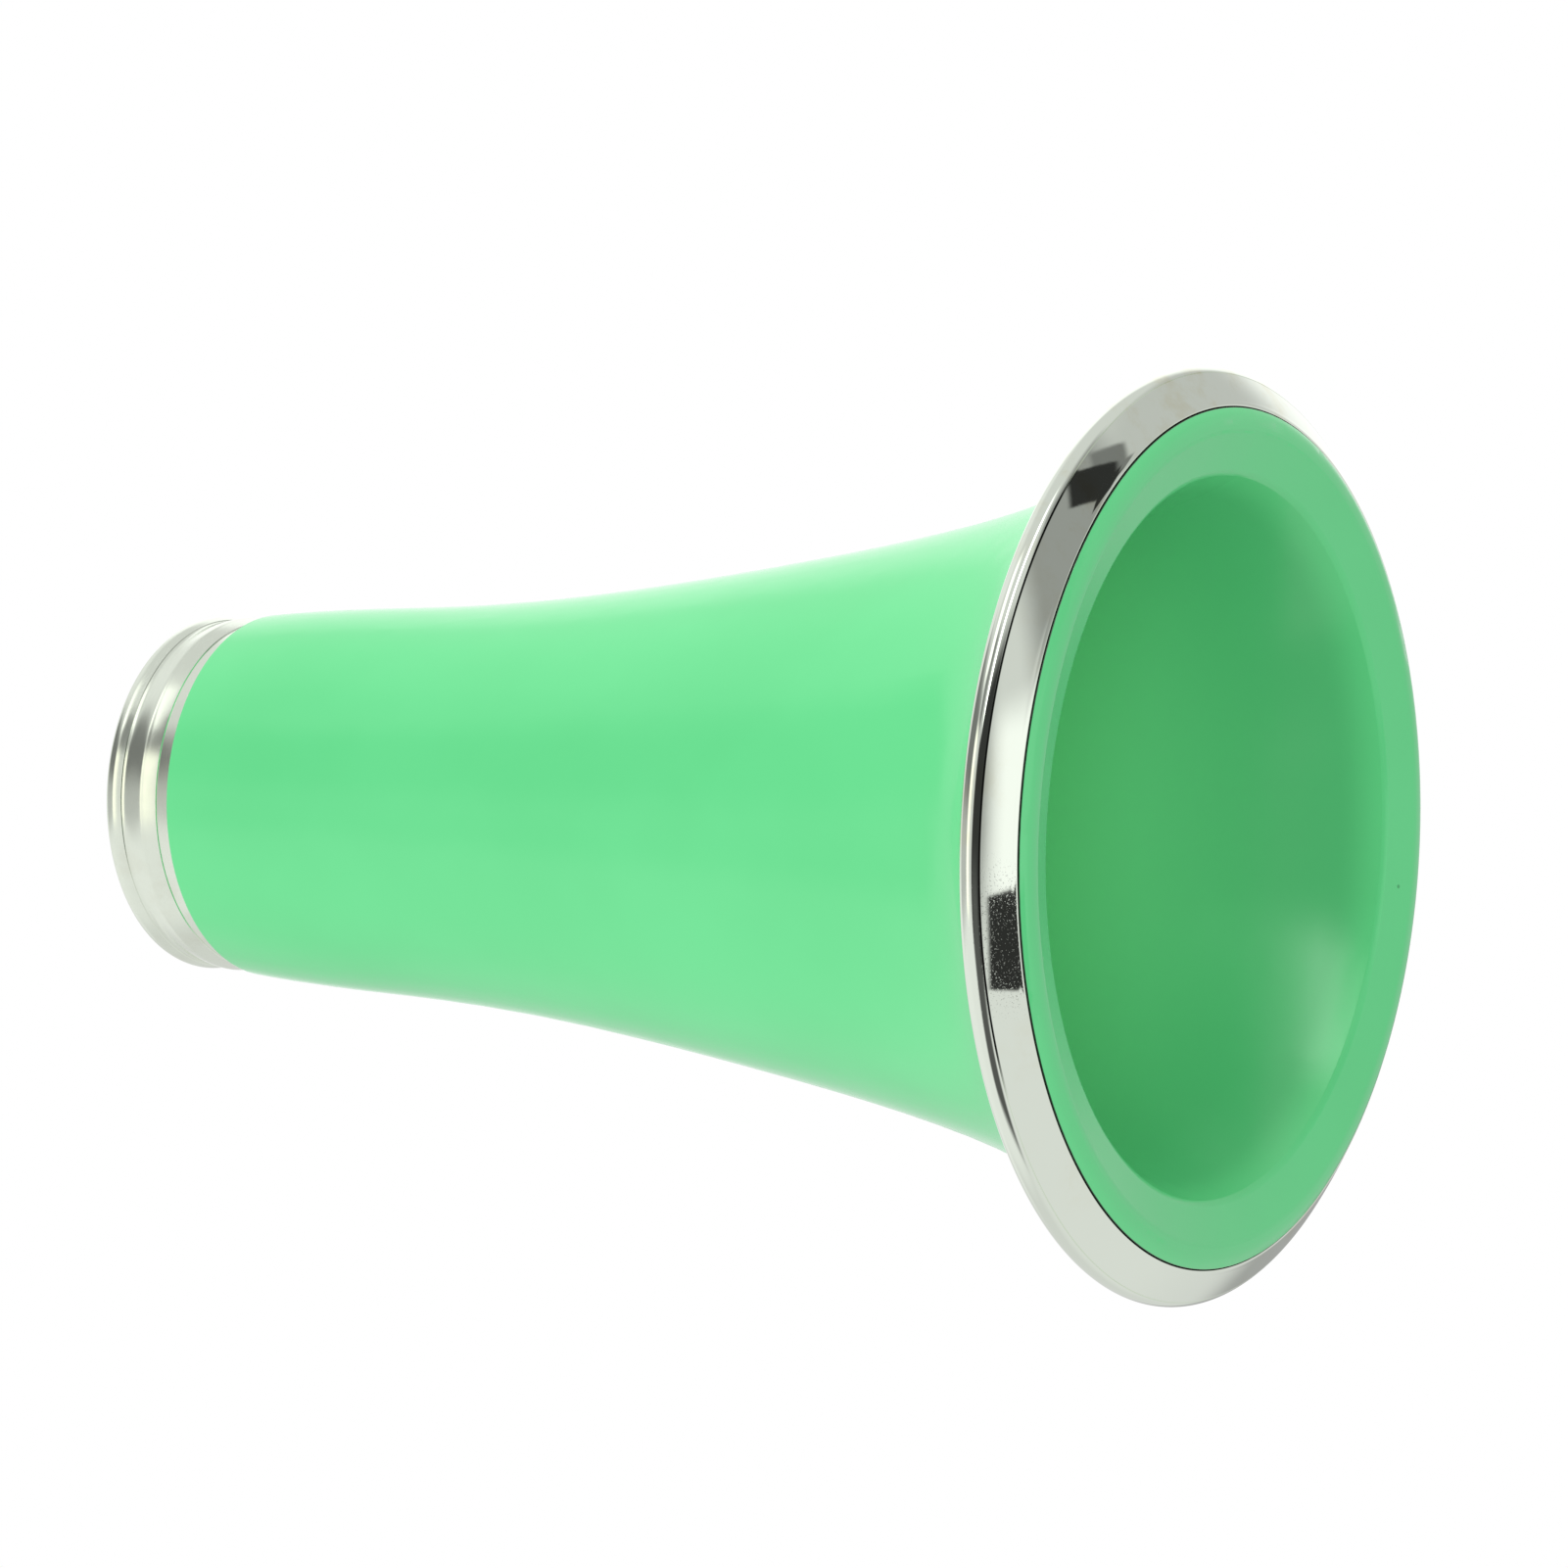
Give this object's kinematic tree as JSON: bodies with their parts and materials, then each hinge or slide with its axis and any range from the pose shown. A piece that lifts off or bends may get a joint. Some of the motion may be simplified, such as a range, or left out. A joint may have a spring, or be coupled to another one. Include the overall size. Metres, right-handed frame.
{
  "type": "clarinet bell",
  "caption": "Flared plastic clarinet bell with a tenon socket at the narrow end and a beaded metal ring pressed on each end.",
  "frame": {"origin": "middle of the mouth, on the plane that the bell stands on", "axes": "+Z along the bore from the mouth to the tenon socket; the bell is round, so +X and +Y are arbitrary"},
  "size_m": [0.08, 0.08, 0.109],
  "materials": {
    "green_plastic": "glossy moulded ABS, mint green, faint flow marks and hairline scratches",
    "plated_rim": "bright nickel plating, slightly wavy front face",
    "plated_socket": "bright nickel plating, lightly handled"
  },
  "bodies": {
    "root": {"bell_body": "green_plastic", "rim_ring": "plated_rim", "socket_ring": "plated_socket"}
  },
  "joints": []
}
